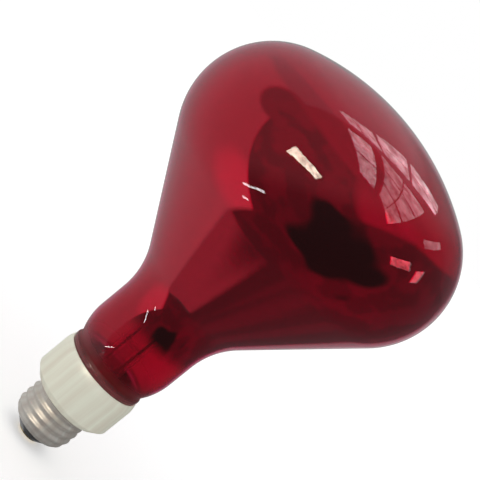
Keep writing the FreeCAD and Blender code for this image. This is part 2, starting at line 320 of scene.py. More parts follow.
def remap(tree, value, start, end, low=0.0, high=1.0, shape="LINEAR"):
    """Value carried from the range start to end over to low to high."""
    inputs = {"Value": value, "From Min": start, "From Max": end, "To Min": low, "To Max": high}
    return add_node(tree, "ShaderNodeMapRange", inputs, interpolation_type=shape).outputs["Result"]


def clouds(tree, where, scale, detail, roughness=0.5, distortion=0.0):
    """Cloudy noise at a place; returns the node's outputs."""
    inputs = {"Vector": where, "Scale": scale, "Detail": detail, "Roughness": roughness,
              "Distortion": distortion}
    return add_node(tree, "ShaderNodeTexNoise", inputs).outputs


def object_place(tree):
    """Place on the piece, in the lamp's frame."""
    return add_node(tree, "ShaderNodeTexCoord").outputs["Object"]


def height_up(tree):
    """Height up the lamp's axis."""
    return add_node(tree, "ShaderNodeSeparateXYZ", {"Vector": object_place(tree)}).outputs["Z"]


def seen_behind(tree):
    """1 where a face is met from behind."""
    return add_node(tree, "ShaderNodeNewGeometry").outputs["Backfacing"]


def rgba(rgb, factor=1.0):
    return tuple(channel * factor for channel in rgb) + (1.0,)


def new_group(name, inputs):
    """Empty shader node group with number inputs and one value out; returns it and its inputs."""
    tree = bpy.data.node_groups.new(name, "ShaderNodeTree")
    for socket in inputs:
        tree.interface.new_socket(socket, in_out="INPUT", socket_type="NodeSocketFloat")
    tree.interface.new_socket("Value", in_out="OUTPUT", socket_type="NodeSocketFloat")
    return tree, tree.nodes.new("NodeGroupInput").outputs


def film_group():
    """Soft film that handling leaves: cloudy patches with fine smears, between two values."""
    if "soft_film" in bpy.data.node_groups:
        return bpy.data.node_groups["soft_film"]
    tree, given = new_group("soft_film", ("Scale", "Low", "High"))
    patches = clouds(tree, object_place(tree), given["Scale"], detail=5.0, roughness=0.6, distortion=0.4)
    value = remap(tree, patches["Fac"], 0.35, 0.7, given["Low"], given["High"])
    add_node(tree, "NodeGroupOutput", {"Value": value})
    return tree


def streak_group():
    """Streaks that run up the axis, as drawing leaves on a sheet metal cap, from 0 to 1."""
    if "drawn_streaks" in bpy.data.node_groups:
        return bpy.data.node_groups["drawn_streaks"]
    tree, given = new_group("drawn_streaks", ("Count", "Stretch"))
    parts = add_node(tree, "ShaderNodeSeparateXYZ", {"Vector": object_place(tree)}).outputs
    flat = add_node(tree, "ShaderNodeCombineXYZ", {"X": parts["X"], "Y": parts["Y"]}).outputs["Vector"]
    spread = vector_maths(tree, "MULTIPLY", vector_maths(tree, "NORMALIZE", flat), given["Count"])
    rise = maths(tree, "MULTIPLY", parts["Z"], given["Stretch"])
    up = add_node(tree, "ShaderNodeCombineXYZ", {"Z": rise}).outputs["Vector"]
    grain = clouds(tree, vector_maths(tree, "ADD", spread, up), scale=1.0, detail=4.0, roughness=0.55)
    add_node(tree, "NodeGroupOutput", {"Value": remap(tree, grain["Fac"], 0.3, 0.7)})
    return tree


def film(tree, scale, low=0.0, high=1.0):
    """Film between two values."""
    inputs = {"Scale": scale, "Low": low, "High": high}
    return add_node(tree, "ShaderNodeGroup", inputs, node_tree=film_group()).outputs["Value"]


def streaks(tree, count, stretch):
    """Streaks, so many round the cap and so much drawn out."""
    inputs = {"Count": count, "Stretch": stretch}
    return add_node(tree, "ShaderNodeGroup", inputs, node_tree=streak_group()).outputs["Value"]


def tint(tree, factor, low, high):
    """Colour between two colours by a factor."""
    return add_node(tree, "ShaderNodeMix", {0: factor, 6: low, 7: high}, data_type="RGBA").outputs[2]


def bump(tree, height, strength, distance):
    """Normal of a relief."""
    inputs = {"Height": height, "Strength": strength, "Distance": distance}
    return add_node(tree, "ShaderNodeBump", inputs).outputs["Normal"]


def new_material(name):
    """Material with nodes; returns its node tree too."""
    material = bpy.data.materials.new(name)
    material.use_nodes = True
    return material, material.node_tree


def finish(material, inputs):
    """Gives the material's shader its inputs."""
    tree = material.node_tree
    set_inputs(tree, tree.nodes["Principled BSDF"], inputs)
    return material


def ruby_glass(name, bulb, bead_top):
    """Ruby glass with an uneven stain, faintly rippled from blowing and dulled over the bead."""
    material, tree = new_material(name)
    dulled = remap(tree, height_up(tree), bead_top + bulb.haze_height, bead_top, shape="SMOOTHSTEP")
    stain = tint(tree, film(tree, scale=18), rgba(bulb.ruby, 0.92), rgba(bulb.ruby))
    gloss = film(tree, scale=60, low=0.0, high=0.025)
    return finish(material, {
        "Base Color": tint(tree, dulled, stain, rgba(bulb.haze)),
        "Roughness": maths(tree, "MULTIPLY_ADD", dulled, 0.5, gloss),
        "Normal": bump(tree, film(tree, scale=22), strength=0.1, distance=0.3 * MM),
        "Transmission Weight": 1.0,
        "IOR": GLASS_IOR,
    })


def seal_glass_painted_shade(name, rgb):
    """Fused bead: cloudy brown glass from outside. Its dark brown is partly the glass and partly painted
    shade of the cap's inside behind it. It is half open to light from inside.
    """
    material, tree = new_material(name)
    return finish(material, {
        "Base Color": tint(tree, film(tree, scale=90), rgba(rgb, 0.8), rgba(rgb)),
        "Roughness": film(tree, scale=140, low=0.04, high=0.16),
        "Alpha": remap(tree, seen_behind(tree), 0.0, 1.0, low=1.0, high=0.55),
        "Transmission Weight": 0.45,
        "IOR": GLASS_IOR,
    })


def mirror_coat(name, bulb, gloss, share):
    """One side of the aluminium film inside the glass, thinning out to nothing at both ends."""
    material, tree = new_material(name)
    height = height_up(tree)
    from_neck = remap(tree, height, bulb.mirror_low, bulb.mirror_low + bulb.neck_feather, shape="SMOOTHSTEP")
    to_face = remap(tree, height, bulb.mirror_high, bulb.mirror_high - bulb.face_feather, shape="SMOOTHSTEP")
    facing = remap(tree, seen_behind(tree), 0.0, 1.0, low=share, high=0.0)
    return finish(material, {
        "Base Color": tint(tree, film(tree, scale=14), rgba(bulb.mirror, 0.93), rgba(bulb.mirror)),
        "Metallic": 1.0,
        "Roughness": film(tree, 45, *gloss),
        "Alpha": maths(tree, "MULTIPLY", maths(tree, "MULTIPLY", from_neck, to_face), facing),
    })


def metal(name, rgb, gloss, scale, dark=0.9):
    """Metal with a cloudy film that changes its gloss and colour."""
    material, tree = new_material(name)
    return finish(material, {
        "Base Color": tint(tree, film(tree, scale), rgba(rgb, dark), rgba(rgb)),
        "Metallic": 1.0,
        "Roughness": film(tree, scale * 2.5, *gloss),
    })


def drawn_metal(name, rgb, metallic):
    """Drawn sheet metal: streaks up the axis in its colour, gloss and relief."""
    material, tree = new_material(name)
    broad = streaks(tree, count=5, stretch=10)
    fine = streaks(tree, count=60, stretch=25)
    red, green, blue = rgb
    return finish(material, {
        "Base Color": tint(tree, broad, (red * 0.86, green * 0.79, blue * 0.77, 1), rgba(rgb)),
        "Metallic": metallic,
        "Roughness": remap(tree, fine, 0.0, 1.0, low=0.34, high=0.5),
        "Normal": bump(tree, fine, strength=0.15, distance=0.05 * MM),
    })


def cement(name, pale, dark):
    """Grainy basing cement."""
    material, tree = new_material(name)
    grain = film(tree, scale=900)
    return finish(material, {
        "Base Color": tint(tree, grain, rgba(dark), rgba(pale)),
        "Roughness": 0.95,
        "Normal": bump(tree, grain, strength=0.6, distance=0.2 * MM),
    })


def clear_glass(name):
    """Thin clear glass of the mount, drawn by its edges and rippled from working."""
    material, tree = new_material(name)
    edge = add_node(tree, "ShaderNodeLayerWeight", {"Blend": 0.3}).outputs["Facing"]
    return finish(material, {
        "Base Color": (0.9, 0.92, 0.91, 1),
        "Roughness": film(tree, scale=120, low=0.02, high=0.1),
        "Normal": bump(tree, film(tree, scale=160), strength=0.3, distance=0.2 * MM),
        "Alpha": remap(tree, edge, 0.15, 1.0, low=0.16, high=0.6),
        "IOR": GLASS_IOR,
    })


def vitrite(name, rgb):
    """Black pressed glass with a dull bloom."""
    material, tree = new_material(name)
    bloom = film(tree, scale=300)
    return finish(material, {
        "Base Color": tint(tree, bloom, rgba(rgb), rgba(rgb, 2.4)),
        "Roughness": film(tree, scale=240, low=0.12, high=0.38),
        "Normal": bump(tree, bloom, strength=0.2, distance=0.1 * MM),
        "Coat Weight": 0.6,
        "Coat Roughness": 0.05,
    })


def pale_floor(name, stage):
    """Floor that is white to the camera where nothing shades it and open to a view from below."""
    material, tree = new_material(name)
    to_camera = add_node(tree, "ShaderNodeLightPath").outputs["Is Camera Ray"]
    from_below = maths(tree, "MULTIPLY", to_camera, seen_behind(tree))
    return finish(material, {
        "Base Color": rgba(stage.floor_tone),
        "Roughness": 0.9,
        "Emission Color": (1, 1, 1, 1),
        "Emission Strength": maths(tree, "MULTIPLY", to_camera, stage.floor_lift),
        "Alpha": maths(tree, "SUBTRACT", 1.0, from_below),
    })


def lit_panel(name, strength, tone):
    """Light of a panel, a little uneven."""
    material, tree = new_material(name)
    return finish(material, {
        "Base Color": (0, 0, 0, 1),
        "Emission Color": tint(tree, film(tree, scale=9), rgba(tone, 0.35), rgba(tone, 1.45)),
        "Emission Strength": strength,
    })


def polar(hub, radius, turn):
    """Point of an arc."""
    return hub[0] + radius * math.cos(turn), hub[1] + radius * math.sin(turn)


def bearing(start, end):
    """Direction from one point of a section to another."""
    return math.atan2(end[1] - start[1], end[0] - start[0])


class BulbShape:
    """Places of the bulb's arcs, worked out from the frame and the bulb's own sizes."""

    def __init__(self, bulb):
        self.seal_r = STEM_HIGH.x
        self.rim_z = BULB_LOW.z
        self.apex_z = BULB_HIGH.z
        self.neck_r = self.seal_r + bulb.neck_swell
        self.bead = (self.seal_r + bulb.bead_rise - bulb.bead_radius, SKIRT_HIGH.z + bulb.bead_lift)
        groove_r = self.seal_r + bulb.groove_radius
        reach = bulb.bead_radius + bulb.groove_radius
        self.groove = (groove_r, self.bead[1] + math.sqrt(reach ** 2 - (groove_r - self.bead[0]) ** 2))
        bulge_r = self.neck_r - bulb.bulge_radius
        reach = bulb.groove_radius + bulb.bulge_radius
        self.bulge = (bulge_r, self.groove[1] + math.sqrt(reach ** 2 - (groove_r - bulge_r) ** 2))
        self.flare = (self.neck_r + bulb.flare_radius, self.bulge[1] + bulb.neck_straight)
        self.face = (0.0, self.apex_z - bulb.face_radius)
        shoulder_r = BULB_HIGH.x - bulb.shoulder_radius
        reach = bulb.face_radius - bulb.shoulder_radius
        self.shoulder = (shoulder_r, self.face[1] + math.sqrt(reach ** 2 - shoulder_r ** 2))
        across = self.flare[0] - self.shoulder[0]
        along = self.shoulder[1] - self.flare[1]
        self.cone = (math.asin((bulb.flare_radius + bulb.shoulder_radius) / math.hypot(across, along))
                     - math.atan2(across, along))
        self.face_start = bearing(self.face, self.shoulder)


class HEATLAMP_OT_blow_bulb(Operator):
    """Blow the glass bulb with its mirror coat"""
    bl_idname = "heat_lamp.blow_bulb"
    bl_label = "Blow bulb"

    def execute(self, context):
        bulb = context.scene.heat_lamp_bulb
        shape = BulbShape(bulb)
        bm = self.outline(bulb, shape).turned(BULB_FACETS)
        self.lay_mirror(bm, bulb, shape)
        bead_top = shape.bead[1] + bulb.bead_radius / 2
        for face in bm.faces:
            middle = face.calc_center_median()
            outward = face.normal.dot(Vector((middle.x, middle.y, 0))) > 0
            # Outer faces of the bead take the glass painted dark brown for the shade inside the cap
            if outward and SKIRT_HIGH.z - bulb.wall < middle.z < bead_top:
                face.material_index = SEAL_PAINTED_SHADE
        finishes = [
            ruby_glass("ruby_glass", bulb, bead_top),
            mirror_coat("mirror_coat", bulb, gloss=(0.02, 0.05), share=1.0),
            mirror_coat("mirror_back", bulb, gloss=(0.1, 0.2), share=0.38),
            seal_glass_painted_shade("seal_glass_painted_shade", bulb.seal_painted_shade),
        ]
        add_piece("blown_bulb", bm, finishes, "glass_bulb")
        return {"FINISHED"}

    @staticmethod
    def lay_mirror(bm, bulb, shape):
        """Thin layer just inside the glass, with one finish for each side."""
        def inward(face):
            middle = face.calc_center_median()
            return face.normal.dot(middle - Vector((0, 0, min(middle.z, shape.shoulder[1])))) < 0

        coated = [face for face in bm.faces
                  if bulb.mirror_low < face.calc_center_median().z < bulb.mirror_high and inward(face)]
        copied = bmesh.ops.duplicate(bm, geom=coated)["geom"]
        layer = [item for item in copied if isinstance(item, bmesh.types.BMFace)]
        for face in layer:
            face.material_index = COAT
        bm.normal_update()
        corners = {vert for face in layer for vert in face.verts}
        shifts = [(vert, vert.normal * bulb.coat_gap) for vert in corners]
        for vert, shift in shifts:
            vert.co += shift
        bmesh.ops.solidify(bm, geom=layer, thickness=-bulb.coat)
        layer = [face for face in bm.faces if face.material_index == COAT]
        bmesh.ops.recalc_face_normals(bm, faces=layer)
        for face in layer:
            face.material_index = COAT_BACK if inward(face) else COAT

    @staticmethod
    def outline(bulb, shape):
        """Outside from the rim to the apex, then inside from the apex back to the rim."""
        wall = bulb.wall
        cone = shape.cone
        skin_r = shape.seal_r - bulb.seat_gap
        bead_foot = shape.bead[1] - bulb.bead_radius
        bead_low = -math.acos((shape.seal_r - shape.bead[0]) / bulb.bead_radius)
        bead_high = bearing(shape.bead, shape.groove)
        bulge_low = bearing(shape.bulge, shape.groove)
        face_sweep = math.pi / 2 - shape.face_start
        pen = Outline(skin_r, shape.rim_z)
        pen.line(skin_r, bead_foot)
        pen.line(*polar(shape.bead, bulb.bead_radius, bead_low))
        pen.arc(shape.bead, bead_high - bead_low, steps=10)
        pen.arc(shape.groove, bulge_low - bead_high, steps=8)
        pen.arc(shape.bulge, -bulge_low, steps=14)
        pen.line(shape.neck_r, shape.flare[1], steps=8)
        pen.arc(shape.flare, -cone, steps=16)
        pen.line(*polar(shape.shoulder, bulb.shoulder_radius, -cone), steps=40)
        pen.arc(shape.shoulder, cone + shape.face_start, steps=40)
        pen.arc(shape.face, face_sweep, steps=24)
        pen.line(0, shape.face[1] + bulb.face_radius - wall)
        pen.arc(shape.face, -face_sweep, steps=24)
        pen.arc(shape.shoulder, -cone - shape.face_start, steps=30)
        pen.line(*polar(shape.flare, bulb.flare_radius + wall, math.pi - cone), steps=30)
        pen.arc(shape.flare, cone, steps=12)
        pen.line(shape.neck_r - wall, shape.bulge[1], steps=6)
        pen.arc(shape.bulge, bulge_low, steps=12)
        pen.arc(shape.groove, bead_high - bulge_low, steps=8)
        pen.arc(shape.bead, bead_low - bead_high, steps=8)
        pen.line(shape.seal_r - wall, bead_foot - wall, steps=3)
        pen.line(shape.seal_r - wall, shape.rim_z)
        return pen


class HEATLAMP_OT_wind_filament(Operator):
    """Wind the coiled filament on its ring of supports"""
    bl_idname = "heat_lamp.wind_filament"
    bl_label = "Wind filament"

    def execute(self, context):
        mount = context.scene.heat_lamp_mount
        coil_r = (COIL_HIGH.z - COIL_LOW.z) / 2
        ring_r = -COIL_LOW.y - coil_r
        middle = Vector((0, 0, (COIL_LOW.z + COIL_HIGH.z) / 2))
        first = math.pi / 2 + (2 * math.pi - mount.filament_sweep) / 2
        step = mount.filament_sweep / mount.filament_spans
        corners = [middle + Matrix.Rotation(first + step * index, 3, "Z") @ Vector((ring_r, 0, 0))
                   for index in range(mount.filament_spans + 1)]
        bm = bmesh.new()
        for start, end in zip(corners, corners[1:]):
            self.wind_span(bm, start, end, coil_r, mount)
        bmesh.ops.recalc_face_normals(bm, faces=bm.faces)
        tungsten = metal("tungsten", mount.tungsten, gloss=(0.3, 0.5), scale=400)
        add_piece("filament_coil", bm, [tungsten], "filament")
        return {"FINISHED"}

    @staticmethod
    def wind_span(bm, start, end, coil_r, mount):
        """One straight span: a round wire spun along a helix, then laid from start to end."""
        run = end - start
        turns = round(run.length / mount.coil_pitch)
        steps = turns * COIL_FACETS
        wire_r = mount.coil_wire / 2
        ring = bmesh.ops.create_circle(bm, segments=WIRE_FACETS, radius=wire_r)["verts"]
        bmesh.ops.rotate(bm, verts=ring, cent=(0, 0, 0), matrix=Matrix.Rotation(math.pi / 2, 3, "X"))
        bmesh.ops.translate(bm, verts=ring, vec=(coil_r - wire_r, 0, 0))
        edges = list({edge for vert in ring for edge in vert.link_edges})
        before = set(bm.verts) - set(ring)
        bmesh.ops.spin(bm, geom=ring + edges, cent=(0, 0, 0), axis=(0, 0, 1),
                       dvec=(0, 0, run.length / steps), angle=2 * math.pi * turns, steps=steps)
        wound = [vert for vert in bm.verts if vert not in before]
        lay = run.to_track_quat("Z", "Y").to_matrix().to_4x4()
        bmesh.ops.transform(bm, matrix=Matrix.Translation(start) @ lay, verts=wound)
        open_ends = [edge for edge in bm.edges if edge.is_boundary]
        bmesh.ops.holes_fill(bm, edges=open_ends, sides=WIRE_FACETS)


class HEATLAMP_OT_finish_mount(Operator):
    """Finish the glass mount, the wires, the heat shield and the cement"""
    bl_idname = "heat_lamp.finish_mount"
    bl_label = "Finish mount"

    def execute(self, context):
        mount = context.scene.heat_lamp_mount
        glass = clear_glass("mount_glass")
        for name in ("stem_glass", "exhaust_tube", "arbor_rod"):
            dress(name, glass)
        wire = metal("mount_wire", mount.wire, gloss=(0.22, 0.42), scale=300)
        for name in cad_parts:
            if name.endswith("_lead") or name.startswith("support_wire"):
                dress(name, wire)
        dress("heat_shield", metal("shield_sheet", mount.shield, gloss=(0.25, 0.45), scale=90))
        dress("basing_cement", cement("basing_cement", mount.cement, mount.grain))
        return {"FINISHED"}


class HEATLAMP_OT_form_cap(Operator):
    """Form the skirt and roll the screw shell with its thread"""
    bl_idname = "heat_lamp.form_cap"
    bl_label = "Form cap"

    def execute(self, context):
        cap = context.scene.heat_lamp_cap
        skirt_satin = drawn_metal("skirt_satin", cap.skirt, metallic=0.15)
        add_piece("skirt_sheet", self.skirt(cap), [skirt_satin], "cap_skirt")
        shell_satin = drawn_metal("shell_satin", cap.shell, metallic=0.7)
        add_piece("threaded_shell", self.shell(cap), [shell_satin], "screw_shell")
        return {"FINISHED"}

    @staticmethod
    def skirt(cap):
        """Foot, shoulder, wall and rolled lip, then back down the inside."""
        outer_r = SKIRT_HIGH.x
        low = SKIRT_LOW.z
        high = SKIRT_HIGH.z
        hole_r = cap.thread_radius + cap.foot_gap
        foot_r = outer_r - cap.shoulder
        lip_r = STEM_HIGH.x + cap.lip_gap + cap.sheet
        hub_r = outer_r - cap.lip_roll
        roll = math.acos((lip_r - hub_r) / cap.lip_roll)
        hub = (hub_r, high - cap.lip_roll * math.sin(roll))
        wall_r = outer_r - cap.sheet
        pen = Outline(hole_r, low)
        pen.line(foot_r, low).line(outer_r, low + cap.shoulder).line(outer_r, hub[1])
        pen.arc(hub, roll, steps=8)
        pen.line(lip_r - cap.sheet, high).line(wall_r, hub[1]).line(wall_r, low + cap.sheet + cap.shoulder)
        pen.line(foot_r - cap.sheet, low + cap.sheet).line(hole_r, low + cap.sheet)
        bm = pen.turned(CAP_FACETS)
        soften(bm, cap.skirt_edge)
        return bm

    @staticmethod
    def shell(cap):
        """Lip, threaded wall, collar and flange; the thread is raised on the wall by its helix."""
        low = SHELL_LOW.z
        flange_top = SHELL_HIGH.z
        flange_z = flange_top - cap.shell_wall
        crest_r = cap.thread_radius
        root_r = crest_r - cap.thread_depth
        bore_r = root_r - cap.shell_wall
        lip_r = bore_r - cap.lip_inset
        thread_low = low + cap.lip_height
        collar_z = SKIRT_LOW.z - cap.collar_height
        thread_high = collar_z - cap.thread_depth
        collar_bore = crest_r - cap.shell_wall
        pen = Outline(lip_r, low)
        pen.line(lip_r + cap.shell_wall, low).line(root_r, thread_low, steps=3)
        pen.line(root_r, thread_high, steps=64)
        pen.line(crest_r, collar_z, steps=3).line(crest_r, flange_z).line(SHELL_HIGH.x, flange_z)
        pen.line(SHELL_HIGH.x, flange_top).line(collar_bore, flange_top).line(collar_bore, collar_z)
        pen.line(bore_r, thread_high).line(bore_r, thread_low)
        bm = pen.turned(CAP_FACETS)
        for vert in bm.verts:
            wall_r = math.hypot(vert.co.x, vert.co.y)
            if wall_r < root_r - cap.shell_wall / 2 or not thread_low < vert.co.z < thread_high:
                continue
            ends = min(vert.co.z - thread_low, thread_high - vert.co.z) / cap.thread_pitch
            fade = min(1.0, ends / cap.thread_run_in)
            turn = math.atan2(vert.co.y, vert.co.x)
            wave = (1 + math.cos(2 * math.pi * vert.co.z / cap.thread_pitch - turn)) / 2
            grow = (root_r + cap.thread_depth * wave * fade) / wall_r
            vert.co.x *= grow
            vert.co.y *= grow
        bmesh.ops.recalc_face_normals(bm, faces=bm.faces)
        return bm


class HEATLAMP_OT_seat_contacts(Operator):
    """Seat the insulator, the contact plate and the two drops of solder"""
    bl_idname = "heat_lamp.seat_contacts"
    bl_label = "Seat contacts"

    def execute(self, context):
        cap = context.scene.heat_lamp_cap
        black = vitrite("vitrite", cap.vitrite)
        add_piece("insulator_plug", self.plug(cap), [black], "cap_insulator")
        brass = metal("contact_brass", cap.brass, gloss=(0.25, 0.45), scale=260, dark=0.75)
        add_piece("contact_plate", self.plate(cap), [brass], "centre_contact")
        solder = metal("solder", cap.solder, gloss=(0.22, 0.5), scale=500, dark=0.8)
        add_piece("contact_bead", self.contact_bead(cap), [solder], "contact_solder")
        add_piece("side_bead", self.side_bead(), [solder], "side_solder")
        return {"FINISHED"}

    @staticmethod
    def plug(cap):
        """Coned black glass between the shell's lip and the contact plate."""
        outer_r = PLUG_HIGH.x
        shelf_r = PLATE_HIGH.x + cap.plug_shelf
        pen = Outline(0, PLUG_LOW.z)
        pen.line(shelf_r, PLUG_LOW.z).line(outer_r - cap.lip_inset, SHELL_LOW.z, steps=2)
        pen.line(outer_r, SHELL_LOW.z + cap.lip_height).line(outer_r, PLUG_HIGH.z).line(0, PLUG_HIGH.z)
        bm = pen.turned(PLUG_FACETS)
        soften(bm, cap.plug_edge, segments=3)
        return bm

    @staticmethod
    def plate(cap):
        """Round contact plate with its rim rounded down."""
        rim = PLATE_HIGH.x
        edge = cap.plate_edge
        pen = Outline(0, PLATE_LOW.z)
        pen.line(rim - edge, PLATE_LOW.z).arc((rim - edge, PLATE_LOW.z + edge), math.pi / 2, steps=5)
        pen.line(rim, PLATE_HIGH.z).line(0, PLATE_HIGH.z)
        return pen.turned(PLUG_FACETS)

    @staticmethod
    def contact_bead(cap):
        """Low dome of solder, a little lumpy, with a flat where it was dressed."""
        radius = TIP_HIGH.x
        height = TIP_HIGH.z - TIP_LOW.z
        flat_r = radius * 0.6
        lump_size = 1.3 * MM
        lump_height = 0.12 * height
        lumps_low = TIP_LOW.z + height * 0.2
        lumps_high = TIP_HIGH.z - height * 0.1
        pen = Outline(0, TIP_LOW.z)
        pen.line(flat_r, TIP_LOW.z, steps=4).line(radius, TIP_HIGH.z, steps=6).line(0, TIP_HIGH.z)
        bm = pen.turned(DROP_FACETS)
        for vert in bm.verts:
            if lumps_low < vert.co.z < lumps_high:
                lump = noise.noise(vert.co / lump_size) * lump_height
                vert.co += Vector((vert.co.x, vert.co.y, 0)).normalized() * lump
        soften(bm, cap.drop_edge, segments=3)
        return bm

    @staticmethod
    def side_bead():
        """Drop of solder in the corner between the collar and the skirt's foot."""
        place = (DROP_LOW + DROP_HIGH) / 2
        place.z = DROP_HIGH.z
        half = (DROP_HIGH - DROP_LOW) / 2
        room_for_lumps = 0.95
        lump_height = 0.05
        lump_size = 0.8 * MM
        bm = bmesh.new()
        bmesh.ops.create_icosphere(bm, subdivisions=4, radius=1.0)
        bmesh.ops.scale(bm, vec=Vector((half.x, half.y, half.z * 2)) * room_for_lumps, verts=bm.verts)
        for vert in bm.verts:
            vert.co *= 1 + lump_height * noise.noise(vert.co / lump_size)
        bmesh.ops.bisect_plane(bm, geom=bm.verts[:] + bm.edges[:] + bm.faces[:], plane_co=(0, 0, 0),
                               plane_no=(0, 0, 1), clear_outer=True)
        bmesh.ops.holes_fill(bm, edges=[edge for edge in bm.edges if edge.is_boundary])
        bmesh.ops.translate(bm, vec=place, verts=bm.verts)
        return bm


class StudioSky:
    """World nodes: light by its direction in the picture's axes and by the kind of ray."""

    def __init__(self, tree, axes):
        self.tree = tree
        self.side, self.top, self.back = axes
        self.way = add_node(tree, "ShaderNodeTexCoord").outputs["Generated"]
        self.path = add_node(tree, "ShaderNodeLightPath").outputs
        self.across = self.along(self.side)
        self.rise = self.along(self.top)
        self.depth = self.along(self.back)
        self.far_side = self.times(self.fade(self.across, 0.3, 0.5), self.fade(self.rise, 0.4, 0.2))

    def along(self, axis, where=None):
        """How far the direction of a ray, or another one, points along an axis."""
        inputs = {0: self.way if where is None else where, 1: axis}
        return add_node(self.tree, "ShaderNodeVectorMath", inputs, operation="DOT_PRODUCT").outputs["Value"]

    def fade(self, value, start, end):
        """0 before start and 1 past end."""
        return remap(self.tree, value, start, end, shape="SMOOTHSTEP")

    def times(self, first, *others):
        """Product of values and node outputs."""
        for other in others:
            first = maths(self.tree, "MULTIPLY", first, other)
        return first

    def mix(self, factor, low, high):
        """Value between two values by a factor."""
        inputs = {0: factor, 2: low, 3: high}
        return add_node(self.tree, "ShaderNodeMix", inputs, data_type="FLOAT").outputs[0]

    def by_ray(self, off_glass, through_glass):
        """One value for rays that the surface throws back, another for rays that passed the glass."""
        return self.mix(self.path["Is Transmission Ray"], off_glass, through_glass)

    def spot(self, across, up, near, rim, core, where=None):
        """1 round a direction given in the picture's axes, 0 away from it."""
        middle = (self.side * across + self.top * up + self.back * near).normalized()
        return self.fade(self.along(middle, where), rim, core)

    def graded(self, value, stops):
        """Level that follows a value from -1 to 1 by stops of value and level."""
        ramp = add_node(self.tree, "ShaderNodeValToRGB", {"Fac": remap(self.tree, value, -1.0, 1.0)})
        elements = ramp.color_ramp.elements
        while len(elements) < len(stops):
            elements.new(0.5)
        for element, (place, level) in zip(elements, stops):
            element.position = (place + 1) / 2
            element.color = (level, level, level, 1)
        return ramp.outputs["Color"]

    def room(self):
        """Dim room in front of the lamp, uneven in the coat, with one darker patch of a bent rim."""
        tree = self.tree
        uneven = clouds(tree, self.way, scale=2.6, detail=2.0)["Fac"]
        swirl = vector_maths(tree, "SUBTRACT", clouds(tree, self.way, scale=2.4, detail=0.0)["Color"],
                             (0.5, 0.5, 0.5))
        swirl = vector_maths(tree, "MULTIPLY", swirl, (1.1, 1.1, 1.1))
        bent = vector_maths(tree, "NORMALIZE", vector_maths(tree, "ADD", self.way, swirl))
        patch = self.spot(across=0.15, up=-0.62, near=0.76, rim=0.76, core=0.9, where=bent)
        dim = self.mix(patch, self.mix(self.fade(uneven, 0.44, 0.56), 0.8, 1.15), 0.14)
        through_glass = self.graded(self.rise, [(-1.0, 0.23), (-0.8, 0.18), (-0.3, 0.18), (0.0, 0.22),
                                                (0.3, 0.31), (1.0, 0.31)])
        off_glass = self.graded(self.rise, [(-1.0, 0.085), (0.0, 0.12), (0.25, 0.26), (1.0, 0.26)])
        return self.by_ray(off_glass, self.times(dim, through_glass))

    def glow(self):
        """Soft light on the right that only the coat shows."""
        place = self.spot(across=0.9, up=0.05, near=0.43, rim=0.8, core=0.95)
        return self.times(place, self.fade(self.rise, -0.22, -0.06), self.by_ray(0.0, 0.55))

    def wall(self):
        """Pale wall behind and left of the lamp, brightest at the left, dim on the far side and overhead."""
        edge = self.side * 0.467 - self.top * 0.285 + self.back * 0.838
        body = self.times(self.fade(self.along(edge), 0.03, -0.03), self.fade(self.rise, -0.4, -0.3))
        overhead = self.spot(across=-0.06, up=0.95, near=0.3, rim=0.935, core=0.965)
        left = self.spot(across=-0.95, up=-0.15, near=0.27, rim=0.83, core=0.97)
        plain = self.mix(self.fade(self.depth, -0.5, -0.85), 0.66, 0.54)
        level = self.by_ray(0.44, self.mix(left, plain, 1.0))
        return self.times(body, self.mix(overhead, 1.0, 0.5), self.mix(self.far_side, 1.0, 0.3), level)

    def skirting(self):
        """Pale strip low on the left."""
        place = self.times(self.fade(self.rise, -0.78, -0.7), self.fade(self.depth, -0.06, -0.14),
                           self.fade(self.across, -0.54, -0.64))
        return self.times(place, self.by_ray(0.2, 0.5))

    def screen(self):
        """Pale screen straight behind the lamp."""
        drop = self.mix(self.fade(self.rise, -0.2, -0.4), 0.0, 0.09)
        place = self.fade(maths(self.tree, "ADD", self.depth, drop), -0.72, -0.8)
        return self.times(place, self.mix(self.far_side, 1.0, 0.45), self.by_ray(0.3, 0.54))

    def strength(self):
        """Glass and metal mirror the room; all else is lit by a white studio, and the camera sees white."""
        level = self.room()
        for part in (self.glow(), self.wall(), self.skirting(), self.screen()):
            level = maths(self.tree, "MAXIMUM", level, part)
        mirrored = maths(self.tree, "MAXIMUM", self.path["Is Glossy Ray"], self.path["Is Transmission Ray"])
        mirrored = self.times(mirrored, maths(self.tree, "LESS_THAN", self.path["Diffuse Depth"], 0.5))
        lamp_side = self.top * 0.8 - self.side * 0.45 + self.back * 0.4
        shade = self.mix(self.fade(self.along(lamp_side), -0.7, 0.5), 0.7, 1.05)
        return self.mix(mirrored, self.mix(self.path["Is Camera Ray"], shade, 1.0), level)


